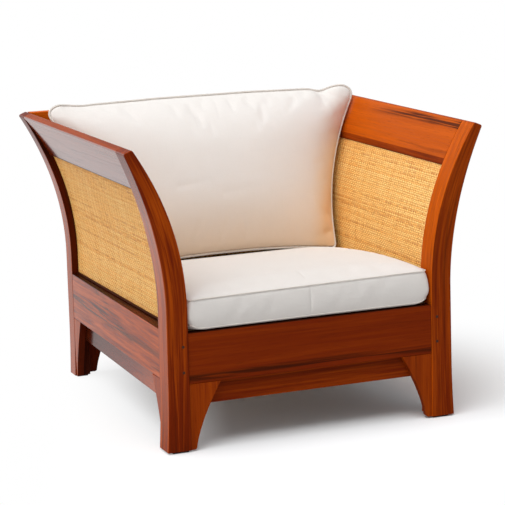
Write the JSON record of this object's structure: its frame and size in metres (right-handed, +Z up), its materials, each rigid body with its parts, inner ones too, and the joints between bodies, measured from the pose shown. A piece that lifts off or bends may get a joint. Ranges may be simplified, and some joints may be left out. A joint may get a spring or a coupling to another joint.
{
  "type": "armchair",
  "caption": "Low armchair with flared horn posts and arms in red-brown hardwood, woven cane side and back panels, a welted seat cushion and a plump loose back cushion.",
  "frame": {"origin": "on the floor, under the middle of the frame's width and depth", "axes": "+X to the sitter's left (right in the front view), +Y to the back, +Z up; the front faces -Y"},
  "size_m": [0.9958, 0.932, 0.818],
  "materials": {
    "hardwood": "glossy red-brown hardwood with dark grain streaks",
    "slat_wood": "plain sanded softwood, hidden under the cushions",
    "cane": "close woven natural cane, satin",
    "linen": "off-white linen weave, matt",
    "peg": "dark end-grain wood",
    "glide": "matt black"
  },
  "bodies": {
    "frame": {"left_front_post": "hardwood", "left_rear_post": "hardwood", "left_arm_rail": "hardwood", "left_seat_rail": "hardwood", "left_apron": "hardwood", "left_front_leg_bracket": "hardwood", "left_rear_leg_bracket": "hardwood", "left_front_side_bracket": "hardwood", "left_rear_side_bracket": "hardwood", "left_cane_sill": "hardwood", "right_front_post": "hardwood", "right_rear_post": "hardwood", "right_arm_rail": "hardwood", "right_seat_rail": "hardwood", "right_apron": "hardwood", "right_front_leg_bracket": "hardwood", "right_rear_leg_bracket": "hardwood", "right_front_side_bracket": "hardwood", "right_rear_side_bracket": "hardwood", "right_cane_sill": "hardwood", "front_seat_rail": "hardwood", "rear_seat_rail": "hardwood", "front_apron": "hardwood", "rear_apron": "hardwood", "back_top_rail": "hardwood", "back_cane_sill": "hardwood", "left_cane_panel": "cane", "right_cane_panel": "cane", "back_cane_panel": "cane", "left_lower_peg": "peg", "left_upper_peg": "peg", "right_lower_peg": "peg", "right_upper_peg": "peg", "left_front_glide": "glide", "left_rear_glide": "glide", "right_front_glide": "glide", "right_rear_glide": "glide", "left_deck_cleat": "slat_wood", "right_deck_cleat": "slat_wood", "seat_slat_1": "slat_wood", "seat_slat_2": "slat_wood", "seat_slat_3": "slat_wood", "seat_slat_4": "slat_wood", "seat_slat_5": "slat_wood", "seat_slat_6": "slat_wood", "seat_slat_7": "slat_wood", "rest_foot_rail": "slat_wood", "left_rest_stile": "slat_wood", "right_rest_stile": "slat_wood", "rest_slat_1": "slat_wood", "rest_slat_2": "slat_wood", "rest_slat_3": "slat_wood", "rest_slat_4": "slat_wood"},
    "seat_cushion": {"seat_cushion": "linen"},
    "back_cushion": {"back_cushion": "linen"}
  },
  "joints": [
    {"name": "seat_cushion_slide", "type": "slide", "parent": "frame", "child": "seat_cushion", "axis": [0, -0.9994, 0.0349], "range_m": [0, 0.72]},
    {"name": "back_cushion_lift", "type": "slide", "parent": "frame", "child": "back_cushion", "axis": [0, 0, 1], "range_m": [0, 0.45]}
  ]
}
